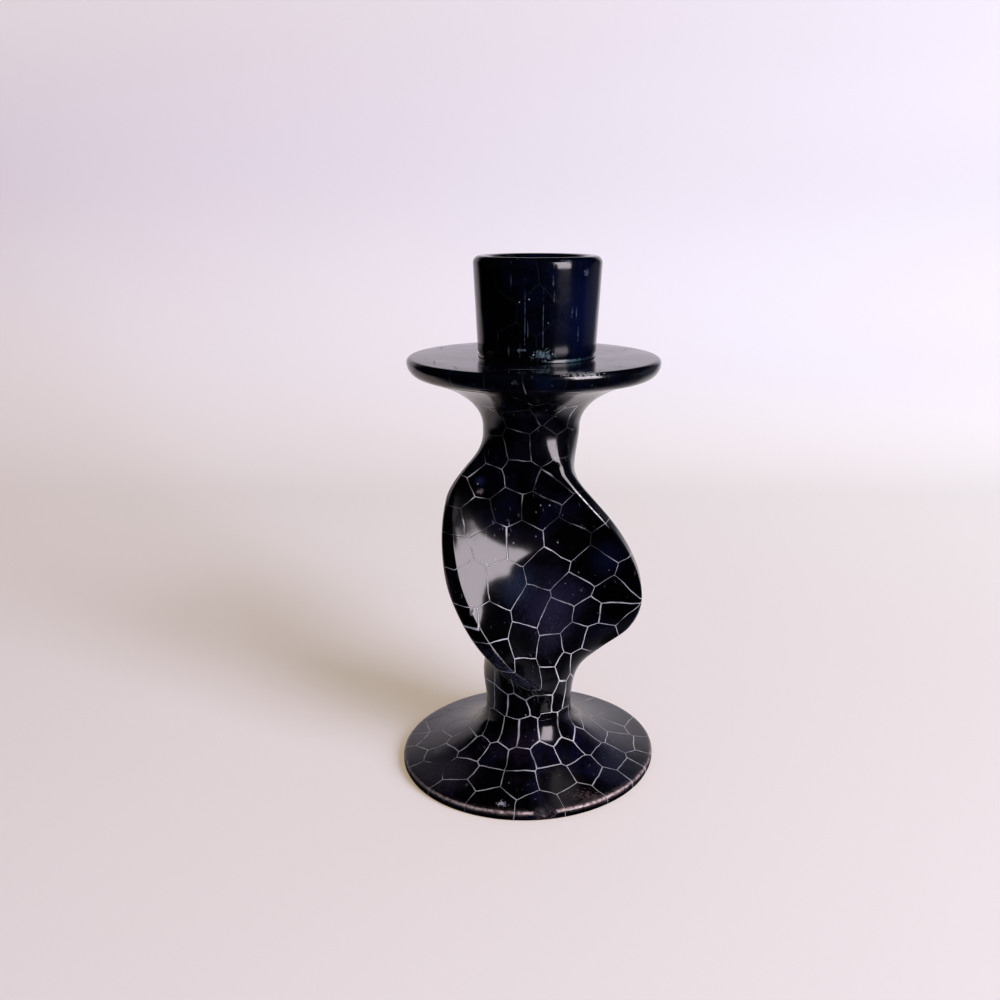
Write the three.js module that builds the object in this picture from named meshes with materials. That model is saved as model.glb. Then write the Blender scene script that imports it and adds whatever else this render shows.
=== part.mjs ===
// A taper candle holder of dyed and polished stone: a round foot, a twisted body whose two wings
// grow out of a round core, a drip pan and a tapered candle cup. The stones are joined by round
// spigots that stand in mortises. Millimetres, +Z up, origin at the centre of the foot's underside.

import * as THREE from 'three';

// Heights of the stones; the body takes what the others leave of the whole
const TOTAL_HEIGHT = 150;
const FOOT_HEIGHT = 17;
const PAN_THICKNESS = 5.4;
const CUP_HEIGHT = 27.2;

// Foot: its out-of-round is how much longer its radius is in the long way, in degrees from +X
const FOOT_RADIUS = 38.3;
const FOOT_OUT_OF_ROUND = 1.15;
const FOOT_LONG_WAY = 47.5;
const FOOT_EDGE_HEIGHT = 2.8;
const FOOT_EDGE_ROUNDING = 0.8;
const FOOT_HOLLOW_RADIUS = 13;
const FOOT_HOLLOW_HEIGHT = 6.5;

// Stem and neck, the round ends of the body
const STEM_RADIUS = 12.9;
const STEM_LENGTH = 2;
const NECK_RADIUS = 13.7;
const NECK_LENGTH = 15.9;
const FLARE_RADIUS = 31.5;
const FLARE_DEPTH = 5.2;

// Twisted body: its core, its two faces and the thick edges of its wings
const CORE_RADIUS = 15.4;
const CORE_SWELL_HEIGHT = 14;
const FRONT_DEPTH = 10.7;
const BACK_DEPTH = 13.4;
const WING_EDGE_HALF = 2.8;
const WING_TAIL_EDGE_HALF = 1.15;
const WING_EDGE_GROWTH = 30;
const FLATTENING_MARGIN = 1.5;
const FLATTENING_HEIGHT_ABOVE = 19;
const FLATTENING_HEIGHT_BELOW = 23.5;

// Each wing: its furthest reach and the share of the climb where that is, how full its outline is
// above and below it, and its direction in degrees from +X at five shares of the climb
const TURN_SHARES = [0.036, 0.279, 0.473, 0.679, 0.885];
const RIGHT_WING = {
  reach: 33, widestShare: 0.407, fullnessAbove: 2.1, fullnessBelow: 1.25, turns: [30, 3.5, -8, -19, -52.5],
};
const LEFT_WING = {
  reach: 31.1, widestShare: 0.502, fullnessAbove: 1, fullnessBelow: 0.9, turns: [291.5, 249, 229.5, 214, 190],
};

// Drip pan
const PAN_RADIUS = 35.3;
const PAN_OFFSET = 0.5;

// Candle cup
const CUP_ROOT_RADIUS = 16.4;
const CUP_RIM_RADIUS = 17.6;
const CUP_NECKING_RADIUS = 16.0;
const CUP_NECKING_HEIGHT = 1.6;
const CUP_OFFSET = 1.4;
const CUP_LIP_HEIGHT = 2.8;
const CUP_LIP_RADIUS = 15;
const SOCKET_RADIUS = 11.3;
const SOCKET_DEPTH = 22;
const SOCKET_LEAD_IN = 4;

// Spigots and mortises
const FOOT_SPIGOT_RADIUS = 7.5;
const FOOT_SPIGOT_LENGTH = 11;
const CUP_SPIGOT_RADIUS = 7.5;
const CUP_SPIGOT_LENGTH = 17;
const SPIGOT_CHAMFER = 0.8;
const JOINT_CLEARANCE = 0.35;
const JOINT_END_CLEARANCE = 0.6;

// Fineness of the facets
const TURNED_SIDES = 56;
const FACE_STEPS = 20;
const EDGE_STEPS = 3;
const LEAF_LEVELS = 46;
const CURVE_STEPS = 8;

// Levels from the table up that follow from the heights
const PAN_TOP = TOTAL_HEIGHT - CUP_HEIGHT;
const PAN_UNDERSIDE = PAN_TOP - PAN_THICKNESS;
const WINGS_BOTTOM = FOOT_HEIGHT + STEM_LENGTH;
const WINGS_TOP = PAN_UNDERSIDE - NECK_LENGTH;

const radians = (degrees) => THREE.MathUtils.degToRad(degrees);
const blend = (low, high, share) => low + (high - low) * share;
const ease = (share) => THREE.MathUtils.smoothstep(share, 0, 1);

// One closed skin over a stack of rings with equal numbers of points, with a fan over each end
function skinOver(rings) {
  const count = rings[0].length;
  const positions = [];
  for (const ring of rings) {
    for (const point of ring) {
      positions.push(point.x, point.y, point.z);
    }
  }
  const indices = [];
  for (let level = 0; level + 1 < rings.length; level += 1) {
    for (let side = 0; side < count; side += 1) {
      const next = (side + 1) % count;
      const low = level * count;
      const high = low + count;
      indices.push(low + side, low + next, high + next);
      indices.push(low + side, high + next, high + side);
    }
  }
  const ends = [[rings[0], 0, true], [rings[rings.length - 1], (rings.length - 1) * count, false]];
  for (const [ring, start, facesDown] of ends) {
    const centre = new THREE.Vector3();
    ring.forEach((point) => centre.addScaledVector(point, 1 / count));
    const hub = positions.length / 3;
    positions.push(centre.x, centre.y, centre.z);
    for (let side = 0; side < count; side += 1) {
      const next = (side + 1) % count;
      const pair = facesDown ? [start + next, start + side] : [start + side, start + next];
      indices.push(hub, ...pair);
    }
  }
  const geometry = new THREE.BufferGeometry();
  geometry.setAttribute('position', new THREE.Float32BufferAttribute(positions, 3));
  geometry.setIndex(indices);
  geometry.computeVertexNormals();
  return geometry;
}

// A level circle, as points in the directions of a list of angles
function circle(angles, radius, height, offset = 0) {
  return angles.map((angle) => (
    new THREE.Vector3(offset + radius * Math.cos(angle), radius * Math.sin(angle), height)
  ));
}

function evenAngles() {
  return Array.from({ length: TURNED_SIDES }, (_, side) => (side / TURNED_SIDES) * 2 * Math.PI);
}

// The hollow line of a flare, from a narrow end round a corner point to a wide end
function flareCurve(narrow, corner, wide) {
  const curve = new THREE.QuadraticBezierCurve(narrow, corner, wide);
  return curve.getPoints(CURVE_STEPS);
}

// A quarter of an ellipse from one side point up to a crest, as radius and height pairs
function quarterRound(fromRadius, crestRadius, baseHeight, crestHeight, steps) {
  return Array.from({ length: steps + 1 }, (_, step) => {
    const turn = (step / steps) * (Math.PI / 2);
    return new THREE.Vector2(
      crestRadius + (fromRadius - crestRadius) * Math.cos(turn),
      baseHeight + (crestHeight - baseHeight) * Math.sin(turn),
    );
  });
}

// A smooth value through a few stations, whose slopes are weighed by the steps beside them
function valueAt(place, stations, values) {
  const steps = stations.slice(1).map((station, index) => station - stations[index]);
  const rises = steps.map((step, index) => (values[index + 1] - values[index]) / step);
  const slopes = values.map((_, index) => {
    const inside = index > 0 && index < steps.length;
    return inside
      ? (rises[index] * steps[index - 1] + rises[index - 1] * steps[index]) / (steps[index - 1] + steps[index])
      : rises[Math.min(index, rises.length - 1)];
  });
  const found = stations.findIndex((station) => station > place);
  const span = found < 0 ? steps.length - 1 : Math.max(found - 1, 0);
  const share = THREE.MathUtils.clamp((place - stations[span]) / steps[span], 0, 1);
  const square = share * share;
  const cube = square * share;
  return (2 * cube - 3 * square + 1) * values[span]
    + (cube - 2 * square + share) * steps[span] * slopes[span]
    + (3 * square - 2 * cube) * values[span + 1]
    + (cube - square) * steps[span] * slopes[span + 1];
}

// The share of the wings' climb, from their lower to their upper ends, at a height
function climbAt(height) {
  return THREE.MathUtils.clamp((height - WINGS_BOTTOM) / (WINGS_TOP - WINGS_BOTTOM), 0, 1);
}

// The body's core radius: stem to neck, swelling between the wings' ends
function coreRadius(height) {
  const plain = blend(STEM_RADIUS, NECK_RADIUS, climbAt(height));
  const swell = ease((height - WINGS_BOTTOM) / CORE_SWELL_HEIGHT)
    * ease((WINGS_TOP - height) / CORE_SWELL_HEIGHT);
  return blend(plain, CORE_RADIUS, swell);
}

// How far a wing's edge stands from the axis
function wingReach(wing, height) {
  const climb = climbAt(height);
  const above = climb > wing.widestShare;
  const share = above ? (1 - climb) / (1 - wing.widestShare) : climb / wing.widestShare;
  const fullness = above ? wing.fullnessAbove : wing.fullnessBelow;
  return blend(coreRadius(height), wing.reach, Math.sin((share * Math.PI) / 2) ** fullness);
}

// One face of the body at a height: a curve from edge to edge through the middle of the face,
// drawn from the round core into the flat form as the wings grow
function faceCurve(from, middle, to, flatness) {
  const lengthFrom = from.point.distanceTo(middle.point);
  const lengthTo = to.point.distanceTo(middle.point);
  const bend = lengthFrom / (lengthFrom + lengthTo);
  return Array.from({ length: FACE_STEPS + 1 }, (_, step) => {
    const share = step / FACE_STEPS;
    const flat = from.point.clone().multiplyScalar(((share - bend) * (share - 1)) / bend)
      .addScaledVector(middle.point, (share * (share - 1)) / (bend * (bend - 1)))
      .addScaledVector(to.point, (share * (share - bend)) / (1 - bend));
    const angle = share < bend
      ? blend(from.angle, middle.angle, share / bend)
      : blend(middle.angle, to.angle, (share - bend) / (1 - bend));
    const round = new THREE.Vector2(Math.cos(angle), Math.sin(angle)).multiplyScalar(from.core);
    return round.lerp(flat, flatness);
  });
}

// The body's outline at one height, as the front face, the left edge, the back face and the
// right edge in turn
function bodyRing(height) {
  const core = coreRadius(height);
  const rightTurn = radians(valueAt(climbAt(height), TURN_SHARES, RIGHT_WING.turns));
  const leftTurn = radians(valueAt(climbAt(height), TURN_SHARES, LEFT_WING.turns));
  const frontTurn = (rightTurn + leftTurn) / 2 - Math.PI;
  const grown = ease((WINGS_TOP - height) / WING_EDGE_GROWTH)
    * ease((height - WINGS_BOTTOM) / WING_EDGE_GROWTH);
  const half = blend(WING_TAIL_EDGE_HALF, WING_EDGE_HALF, grown);
  const flatness = ease((WINGS_TOP + FLATTENING_MARGIN - height) / FLATTENING_HEIGHT_ABOVE)
    * ease((height - WINGS_BOTTOM + FLATTENING_MARGIN) / FLATTENING_HEIGHT_BELOW);
  const toward = (turn, distance) => (
    new THREE.Vector2(Math.cos(turn), Math.sin(turn)).multiplyScalar(distance)
  );
  const quarter = Math.PI / 2;
  const full = 2 * Math.PI;
  const spread = half / core;
  const right = toward(rightTurn, wingReach(RIGHT_WING, height));
  const left = toward(leftTurn, wingReach(LEFT_WING, height));
  const corner = (point, angle) => ({ point, angle, core });
  const front = faceCurve(
    corner(right.clone().add(toward(rightTurn - quarter, half)), rightTurn - spread),
    corner(toward(frontTurn, FRONT_DEPTH), frontTurn),
    corner(left.clone().add(toward(leftTurn + quarter, half)), leftTurn - full + spread),
    flatness,
  );
  const back = faceCurve(
    corner(left.clone().add(toward(leftTurn - quarter, half)), leftTurn - full - spread),
    corner(toward(frontTurn + Math.PI, BACK_DEPTH), frontTurn - Math.PI),
    corner(right.clone().add(toward(rightTurn + quarter, half)), rightTurn - full + spread),
    flatness,
  );
  const between = (start, end) => Array.from({ length: EDGE_STEPS - 1 }, (_, step) => (
    start.clone().lerp(end, (step + 1) / EDGE_STEPS)
  ));
  const outline = [
    ...front, ...between(front[FACE_STEPS], back[0]), ...back, ...between(back[FACE_STEPS], front[0]),
  ];
  return outline.reverse().map((point) => new THREE.Vector3(point.x, point.y, height));
}

function buildBody() {
  const leafBottom = WINGS_BOTTOM - FLATTENING_MARGIN;
  const leafTop = WINGS_TOP + FLATTENING_MARGIN;
  const leaf = Array.from({ length: LEAF_LEVELS + 1 }, (_, level) => (
    bodyRing(blend(leafBottom, leafTop, level / LEAF_LEVELS))
  ));
  const anglesOf = (ring) => ring.map((point) => Math.atan2(point.y, point.x));
  const below = anglesOf(leaf[0]);
  const above = anglesOf(leaf[leaf.length - 1]);
  const spigotBottom = FOOT_HEIGHT - FOOT_SPIGOT_LENGTH;
  const flare = flareCurve(
    new THREE.Vector2(NECK_RADIUS, leafTop),
    new THREE.Vector2(NECK_RADIUS, PAN_UNDERSIDE - FLARE_DEPTH),
    new THREE.Vector2(FLARE_RADIUS, PAN_UNDERSIDE),
  ).slice(1);
  const mortiseRadius = CUP_SPIGOT_RADIUS + JOINT_CLEARANCE;
  const mortiseFloor = PAN_TOP - CUP_SPIGOT_LENGTH - JOINT_END_CLEARANCE;
  return skinOver([
    circle(below, FOOT_SPIGOT_RADIUS - SPIGOT_CHAMFER, spigotBottom),
    circle(below, FOOT_SPIGOT_RADIUS, spigotBottom + SPIGOT_CHAMFER),
    circle(below, FOOT_SPIGOT_RADIUS, FOOT_HEIGHT),
    circle(below, STEM_RADIUS, FOOT_HEIGHT),
    ...leaf,
    ...flare.map((point) => circle(above, point.x, point.y)),
    circle(above, mortiseRadius, PAN_UNDERSIDE, CUP_OFFSET),
    circle(above, mortiseRadius, mortiseFloor, CUP_OFFSET),
  ]);
}

// The foot's rings grow out of round toward the rim, as the hand-worked stone does
function footRing(radius, height) {
  const share = THREE.MathUtils.clamp((radius - STEM_RADIUS) / (FOOT_RADIUS - STEM_RADIUS), 0, 1);
  const longWay = radians(FOOT_LONG_WAY);
  return evenAngles().map((angle) => {
    const reach = radius + FOOT_OUT_OF_ROUND * share * Math.cos(2 * (angle - longWay));
    return new THREE.Vector3(reach * Math.cos(angle), reach * Math.sin(angle), height);
  });
}

function buildFoot() {
  const mortiseRadius = FOOT_SPIGOT_RADIUS + JOINT_CLEARANCE;
  const mortiseFloor = FOOT_HEIGHT - FOOT_SPIGOT_LENGTH - JOINT_END_CLEARANCE;
  const flare = flareCurve(
    new THREE.Vector2(STEM_RADIUS, FOOT_HEIGHT),
    new THREE.Vector2(FOOT_HOLLOW_RADIUS, FOOT_HOLLOW_HEIGHT),
    new THREE.Vector2(FOOT_RADIUS - FOOT_EDGE_ROUNDING, FOOT_EDGE_HEIGHT),
  ).reverse();
  const outer = [
    new THREE.Vector2(FOOT_RADIUS - FOOT_EDGE_ROUNDING, 0),
    new THREE.Vector2(FOOT_RADIUS, FOOT_EDGE_ROUNDING),
    new THREE.Vector2(FOOT_RADIUS, FOOT_EDGE_HEIGHT - FOOT_EDGE_ROUNDING),
    ...flare,
  ];
  return skinOver([
    ...outer.map((point) => footRing(point.x, point.y)),
    circle(evenAngles(), mortiseRadius, FOOT_HEIGHT),
    circle(evenAngles(), mortiseRadius, mortiseFloor),
  ]);
}

function buildPan() {
  const holeRadius = CUP_SPIGOT_RADIUS + JOINT_CLEARANCE;
  const rounding = PAN_THICKNESS / 2;
  const flatRadius = PAN_RADIUS - rounding;
  const middle = PAN_UNDERSIDE + rounding;
  const rim = Array.from({ length: CURVE_STEPS + 1 }, (_, step) => {
    const turn = (step / CURVE_STEPS - 0.5) * Math.PI;
    return new THREE.Vector2(flatRadius + rounding * Math.cos(turn), middle + rounding * Math.sin(turn));
  });
  const angles = evenAngles();
  const rings = [
    circle(angles, holeRadius, PAN_UNDERSIDE, CUP_OFFSET),
    ...rim.map((point) => circle(angles, point.x, point.y, PAN_OFFSET)),
    circle(angles, holeRadius, PAN_TOP, CUP_OFFSET),
  ];
  return skinRound(rings);
}

// A closed skin over rings whose last one joins the first, for a piece with a hole through it
function skinRound(rings) {
  const count = rings[0].length;
  const positions = rings.flat().flatMap((point) => [point.x, point.y, point.z]);
  const indices = [];
  for (let level = 0; level < rings.length; level += 1) {
    const low = level * count;
    const high = ((level + 1) % rings.length) * count;
    for (let side = 0; side < count; side += 1) {
      const next = (side + 1) % count;
      indices.push(low + side, low + next, high + next);
      indices.push(low + side, high + next, high + side);
    }
  }
  const geometry = new THREE.BufferGeometry();
  geometry.setAttribute('position', new THREE.Float32BufferAttribute(positions, 3));
  geometry.setIndex(indices);
  geometry.computeVertexNormals();
  return geometry;
}

function buildCup() {
  const spigotBottom = PAN_TOP - CUP_SPIGOT_LENGTH;
  const lipStart = TOTAL_HEIGHT - CUP_LIP_HEIGHT;
  const socketFloor = TOTAL_HEIGHT - SOCKET_DEPTH;
  const outside = [
    new THREE.Vector2(0, spigotBottom),
    new THREE.Vector2(CUP_SPIGOT_RADIUS - SPIGOT_CHAMFER, spigotBottom),
    new THREE.Vector2(CUP_SPIGOT_RADIUS, spigotBottom + SPIGOT_CHAMFER),
    new THREE.Vector2(CUP_SPIGOT_RADIUS, PAN_TOP),
    new THREE.Vector2(CUP_ROOT_RADIUS, PAN_TOP),
    new THREE.Vector2(CUP_NECKING_RADIUS, PAN_TOP + CUP_NECKING_HEIGHT / 2),
    new THREE.Vector2(CUP_ROOT_RADIUS, PAN_TOP + CUP_NECKING_HEIGHT),
  ];
  const lipOutside = quarterRound(CUP_RIM_RADIUS, CUP_LIP_RADIUS, lipStart, TOTAL_HEIGHT, 5);
  const lipInside = quarterRound(SOCKET_RADIUS, CUP_LIP_RADIUS, TOTAL_HEIGHT - SOCKET_LEAD_IN, TOTAL_HEIGHT, 5);
  const inside = [
    ...lipInside.reverse().slice(1),
    new THREE.Vector2(SOCKET_RADIUS, socketFloor),
    new THREE.Vector2(0, socketFloor),
  ];
  const geometry = new THREE.LatheGeometry([...outside, ...lipOutside, ...inside], TURNED_SIDES);
  geometry.rotateX(Math.PI / 2);
  return geometry;
}

// Near-black blue stone with a wax polish; the pan and cup have taken more of the blue dye
function stone(colour, roughness) {
  return new THREE.MeshStandardMaterial({ color: colour, roughness, metalness: 0 });
}

function piece(name, geometry, material, offset = 0) {
  const mesh = new THREE.Mesh(geometry, material);
  mesh.name = name;
  mesh.position.x = offset;
  return mesh;
}

const candleHolder = new THREE.Group();
candleHolder.add(piece('foot', buildFoot(), stone(0x14121c, 0.3)));
candleHolder.add(piece('twisted_body', buildBody(), stone(0x0b0a14, 0.25)));
candleHolder.add(piece('drip_pan', buildPan(), stone(0x0c0f1c, 0.2)));
candleHolder.add(piece('candle_cup', buildCup(), stone(0x0c1230, 0.25), CUP_OFFSET));

export default candleHolder;
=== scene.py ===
"""A carved stone taper candle holder: round foot, twisted winged body, drip pan and candle cup,
dyed near-black, waxed and polished, with a web of pale lines scratched through the polish."""

import math
import random

import bmesh
import bpy
import numpy as np
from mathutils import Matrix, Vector, noise
from mathutils.bvhtree import BVHTree


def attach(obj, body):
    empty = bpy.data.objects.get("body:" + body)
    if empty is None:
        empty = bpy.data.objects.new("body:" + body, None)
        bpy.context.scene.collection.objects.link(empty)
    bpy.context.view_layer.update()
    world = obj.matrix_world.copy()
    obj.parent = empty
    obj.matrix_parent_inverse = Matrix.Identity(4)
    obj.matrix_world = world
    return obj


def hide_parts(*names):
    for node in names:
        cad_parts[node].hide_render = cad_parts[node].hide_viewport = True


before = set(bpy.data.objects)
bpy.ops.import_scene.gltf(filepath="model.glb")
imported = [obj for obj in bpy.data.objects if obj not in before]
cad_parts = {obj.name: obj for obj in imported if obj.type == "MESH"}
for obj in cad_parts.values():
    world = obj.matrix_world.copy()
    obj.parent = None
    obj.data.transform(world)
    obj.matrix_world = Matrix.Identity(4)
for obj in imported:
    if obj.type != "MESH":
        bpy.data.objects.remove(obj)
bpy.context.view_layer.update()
scene = bpy.context.scene
scene.view_settings.view_transform = "Standard"

# Camera: a near view, 283 mm in front of the holder and a little above it, looking 15.8 degrees down.
look_down = 15.81
camera = bpy.data.objects.new("camera", bpy.data.cameras.new("camera"))
camera.data.sensor_width = 36
camera.data.lens = 36.55
camera.data.clip_start = 0.01
camera.location = (-0.0088, -0.28275, 0.1611)
camera.rotation_euler = (math.radians(90 - look_down), 0, 0)
scene.collection.objects.link(camera)
scene.camera = camera

# Table and backdrop: one sheet of pale matt paper that runs over the table and curves up behind
# the holder. Its glow is painted daylight: a little pinker on the left and brighter on the right.
paper_half_width = 1.5
paper_front = 1.2
paper_top = 1.6
bend_start = 0.3
bend_radius = 0.3
bend_steps = 16


def arc_turns(first, last, steps):
    """Even turns along an arc, in radians, from a first to a last turn in degrees."""
    return [math.radians(first + (last - first) * step / steps) for step in range(steps + 1)]


sheet = bmesh.new()
last_edge = sheet.edges.new([
    sheet.verts.new((side, -paper_front, 0)) for side in (-paper_half_width, paper_half_width)
])
bend = [
    (bend_start + bend_radius * math.sin(turn), bend_radius * (1 - math.cos(turn)))
    for turn in arc_turns(0, 90, bend_steps)
]
for y, z in [*bend, (bend_start + bend_radius, paper_top)]:
    grown = bmesh.ops.extrude_edge_only(sheet, edges=[last_edge])["geom"]
    last_edge = next(item for item in grown if isinstance(item, bmesh.types.BMEdge))
    for vert in last_edge.verts:
        vert.co.y = y
        vert.co.z = z
bmesh.ops.recalc_face_normals(sheet, faces=sheet.faces)
paper_mesh = bpy.data.meshes.new("paper_sweep")
sheet.to_mesh(paper_mesh)
sheet.free()
for face in paper_mesh.polygons:
    face.use_smooth = True
paper_sweep = bpy.data.objects.new("paper_sweep", paper_mesh)
scene.collection.objects.link(paper_sweep)

paper_look = bpy.data.materials.new("matt_paper")
paper_look.use_nodes = True
paper_mesh.materials.append(paper_look)


def add(tree, kind, values=None, **settings):
    """A node with its settings, whose inputs are given by name or number: a value or a socket."""
    node = tree.nodes.new(kind)
    for key, value in settings.items():
        setattr(node, key, value)
    for key, value in (values or {}).items():
        if isinstance(value, bpy.types.NodeSocket):
            tree.links.new(value, node.inputs[key])
        else:
            node.inputs[key].default_value = value
    return node


def tree_of(*values):
    """The shader tree of the first socket among some values."""
    return next(value.id_data for value in values if isinstance(value, bpy.types.NodeSocket))


def sum_of(operation, *values, clamp=False):
    """The outcome of one sum, such as ADD or SUBTRACT, of values or sockets."""
    settings = {"operation": operation, "use_clamp": clamp}
    return add(tree_of(*values), "ShaderNodeMath", dict(enumerate(values)), **settings).outputs[0]


def product(*factors, clamp=False):
    """The product of two or more values or sockets."""
    outcome = factors[0]
    for factor in factors[1:]:
        outcome = sum_of("MULTIPLY", outcome, factor, clamp=clamp)
    return outcome


def ramped(value, low, high, start=0.0, end=1.0, smooth=True):
    """A value carried from the range low to high into the range start to end, and held there."""
    inputs = {"Value": value, "From Min": low, "From Max": high, "To Min": start, "To Max": end}
    settings = {"interpolation_type": "SMOOTHSTEP" if smooth else "LINEAR", "clamp": True}
    return add(tree_of(value), "ShaderNodeMapRange", inputs, **settings).outputs[0]


def mixed(share, low, high):
    """A colour between two colours, by a share."""
    share_inlet, low_inlet, high_inlet, colour_outlet = 0, 6, 7, 2
    inputs = {share_inlet: share, low_inlet: low, high_inlet: high}
    return add(tree_of(share), "ShaderNodeMix", inputs, data_type="RGBA").outputs[colour_outlet]


paper_tree = paper_look.node_tree
paper_tree.nodes.clear()
ray = add(paper_tree, "ShaderNodeLightPath")
place = add(paper_tree, "ShaderNodeTexCoord").outputs["Object"]
axes = add(paper_tree, "ShaderNodeSeparateXYZ", {0: place})
across, behind, above = [axes.outputs[axis] for axis in "XYZ"]

# The paper's painted light and shade, as a glow seen by the camera and in the polish: brighter by
# how far right, how far back and how high a place on it is
sideways = sum_of("DIVIDE", across, sum_of("ADD", behind, 0.35))
right_share = ramped(sideways, -0.5, 0.5, smooth=False)
left_share = sum_of("SUBTRACT", 1.0, right_share)
far_share = ramped(behind, 0.0, 0.35)
high_share = ramped(above, 0.03, 0.3)
near_glow = mixed(right_share, (0.31, 0.21, 0.10, 1), (0.365, 0.275, 0.145, 1))
far_glow = mixed(right_share, (0.32, 0.22, 0.11, 1), (0.43, 0.36, 0.235, 1))
high_glow = mixed(right_share, (0.3, 0.21, 0.28, 1), (0.52, 0.46, 0.53, 1))
table_glow = mixed(far_share, near_glow, far_glow)
plain_glow = mixed(high_share, table_glow, high_glow)
bend_foot = ramped(above, 0.01, 0.06)
bend_share = product(bend_foot, ramped(above, 0.16, 0.27, 0.55, 0.0))
bend_shade_share = product(bend_share, right_share)
# Painted shade: the glow is darker in the bend at the right
glow_with_bend_shade = mixed(bend_shade_share, plain_glow, (0.27, 0.21, 0.19, 1))
# Painted light: the glow is paler at the top left of the backdrop
top_left_light = product(ramped(above, 0.15, 0.33, 0.0, 0.75), left_share)
painted_glow = mixed(top_left_light, glow_with_bend_shade, (0.5, 0.43, 0.4, 1))
# The matt colour is bluer, so the real shadow comes out warm under the warm painted glow, and greyer up the
# backdrop to offset the stronger daylight there
paper_tint = mixed(high_share, (0.53, 0.58, 0.71, 1), (0.33, 0.35, 0.36, 1))

# Painted shade in reflections: the polish sees the paper only behind and beside the holder, and
# black in front of it, far to the left and high up, and dimmer to the right
lit_depth = ramped(behind, -0.03, 0.06)
lit_left = ramped(sideways, -0.85, -0.55)
lit_right = ramped(sideways, 0.3, 0.62, 1.0, 0.2)
close_right = ramped(sideways, 0.15, 0.35, 1.0, 0.4)
beyond = ramped(behind, 0.05, 0.15)
lit_close = sum_of("MAXIMUM", close_right, beyond)
lit_width = product(lit_left, lit_right, lit_close)
lit_height = ramped(above, 0.28, 0.55, 1.0, 0.0)
lit = product(lit_depth, lit_width, lit_height)
painted_dark_share = sum_of("SUBTRACT", 1.0, lit)
mirrored = product(ray.outputs["Is Glossy Ray"], lit)
unseen = product(ray.outputs["Is Glossy Ray"], painted_dark_share)
seen = sum_of("MAXIMUM", ray.outputs["Is Camera Ray"], mirrored)
matt = add(paper_tree, "ShaderNodeBsdfDiffuse", {"Color": paper_tint})
daylight = add(paper_tree, "ShaderNodeEmission", {"Color": painted_glow, "Strength": seen})
both = add(paper_tree, "ShaderNodeAddShader", {0: matt.outputs[0], 1: daylight.outputs[0]})
shade = add(paper_tree, "ShaderNodeEmission", {"Strength": 0.0})
shaders = {0: unseen, 1: both.outputs[0], 2: shade.outputs[0]}
surface = add(paper_tree, "ShaderNodeMixShader", shaders)
add(paper_tree, "ShaderNodeOutputMaterial", {"Surface": surface.outputs[0]})

# Light: one tall window in front and to the right, in a dim room, as a soft lamp of its size.
window_turn = math.radians(46)
window_rise = math.radians(19)
window_distance = 1.5
window_half_width = math.radians(13)
window_half_height = math.radians(24)
window_brightness = 14
window = bpy.data.objects.new("window", bpy.data.lights.new("window", "AREA"))
window.data.shape = "RECTANGLE"
window.data.size = 2 * window_distance * math.tan(window_half_width)
window.data.size_y = 2 * window_distance * math.tan(window_half_height)
window.data.energy = window_brightness * window.data.size * window.data.size_y * math.pi
window.data.color = (1.0, 0.9, 0.97)
level_distance = window_distance * math.cos(window_rise)
aim = Vector((0, 0, 0.07))
window.location = aim + Vector((
    level_distance * math.sin(window_turn),
    -level_distance * math.cos(window_turn),
    window_distance * math.sin(window_rise),
))
window.rotation_euler = (window.location - aim).to_track_quat("Z", "Y").to_euler()
window.visible_camera = False
scene.collection.objects.link(window)

room = bpy.data.worlds.new("room")
room.use_nodes = True
scene.world = room
room_tree = room.node_tree
room_tree.nodes.clear()
room_ray = add(room_tree, "ShaderNodeLightPath")
dim_light = (0.25, 0.25, 0.26, 1)
dark_mirrored = (0.008, 0.008, 0.01, 1)
pale_seen = (0.8, 0.74, 0.77, 1)
walls = mixed(room_ray.outputs["Is Glossy Ray"], dim_light, dark_mirrored)
sky = mixed(room_ray.outputs["Is Camera Ray"], walls, pale_seen)
air = add(room_tree, "ShaderNodeBackground", {"Color": sky, "Strength": 1.0})
add(room_tree, "ShaderNodeOutputWorld", {"Surface": air.outputs[0]})

# Foot: a round disc of stone, turned by hand and a little out of round, that flares up to the
# stem, with a mortise for the body's spigot. Its underside is flat, its thin rim is worn pale,
# and it has a chip at the front.
foot_radius = 0.03824
foot_edge = 0.0028
foot_rounding = 0.0008
foot_top = 0.017
foot_sides = 240
foot_mortise_floor = 0.0054
mortise_radius = 0.00785
stem_radius = 0.0129
joint_middle = 0.0105
flare_corner = (0.013, 0.0065)
flare_steps = 40
crisp = 0.00005
long_way = math.radians(47.5)
out_of_round = 0.00115
# How far in and how far off the full corner the points of the rim's edges lie
lower_edge = (0.0003, 0.0002)
worn_edge = [(0.00008, 0.0005), (0.00025, 0.00026), (0.0005, 0.00009)]


def bowed(start, corner, end, steps):
    """Points of a hollow curve from a start to an end round a corner point."""
    shares = [step / steps for step in range(steps + 1)]
    return [tuple(
        (1 - s) ** 2 * a + 2 * s * (1 - s) * b + s * s * c for a, b, c in zip(start, corner, end)
    ) for s in shares]


def turned(profile, steps, offset=0.0):
    """A closed solid turned round the upright axis from a profile of radius and height pairs."""
    solid = bmesh.new()
    verts = [solid.verts.new((radius, 0, height)) for radius, height in profile]
    edges = [solid.edges.new(pair) for pair in zip(verts, verts[1:])]
    bmesh.ops.spin(
        solid, geom=verts + edges, axis=(0, 0, 1), cent=(0, 0, 0), angle=2 * math.pi,
        steps=steps, use_merge=True,
    )
    bmesh.ops.remove_doubles(solid, verts=solid.verts, dist=1e-6)
    bmesh.ops.translate(solid, verts=solid.verts, vec=(offset, 0, 0))
    bmesh.ops.recalc_face_normals(solid, faces=solid.faces)
    return solid


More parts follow.
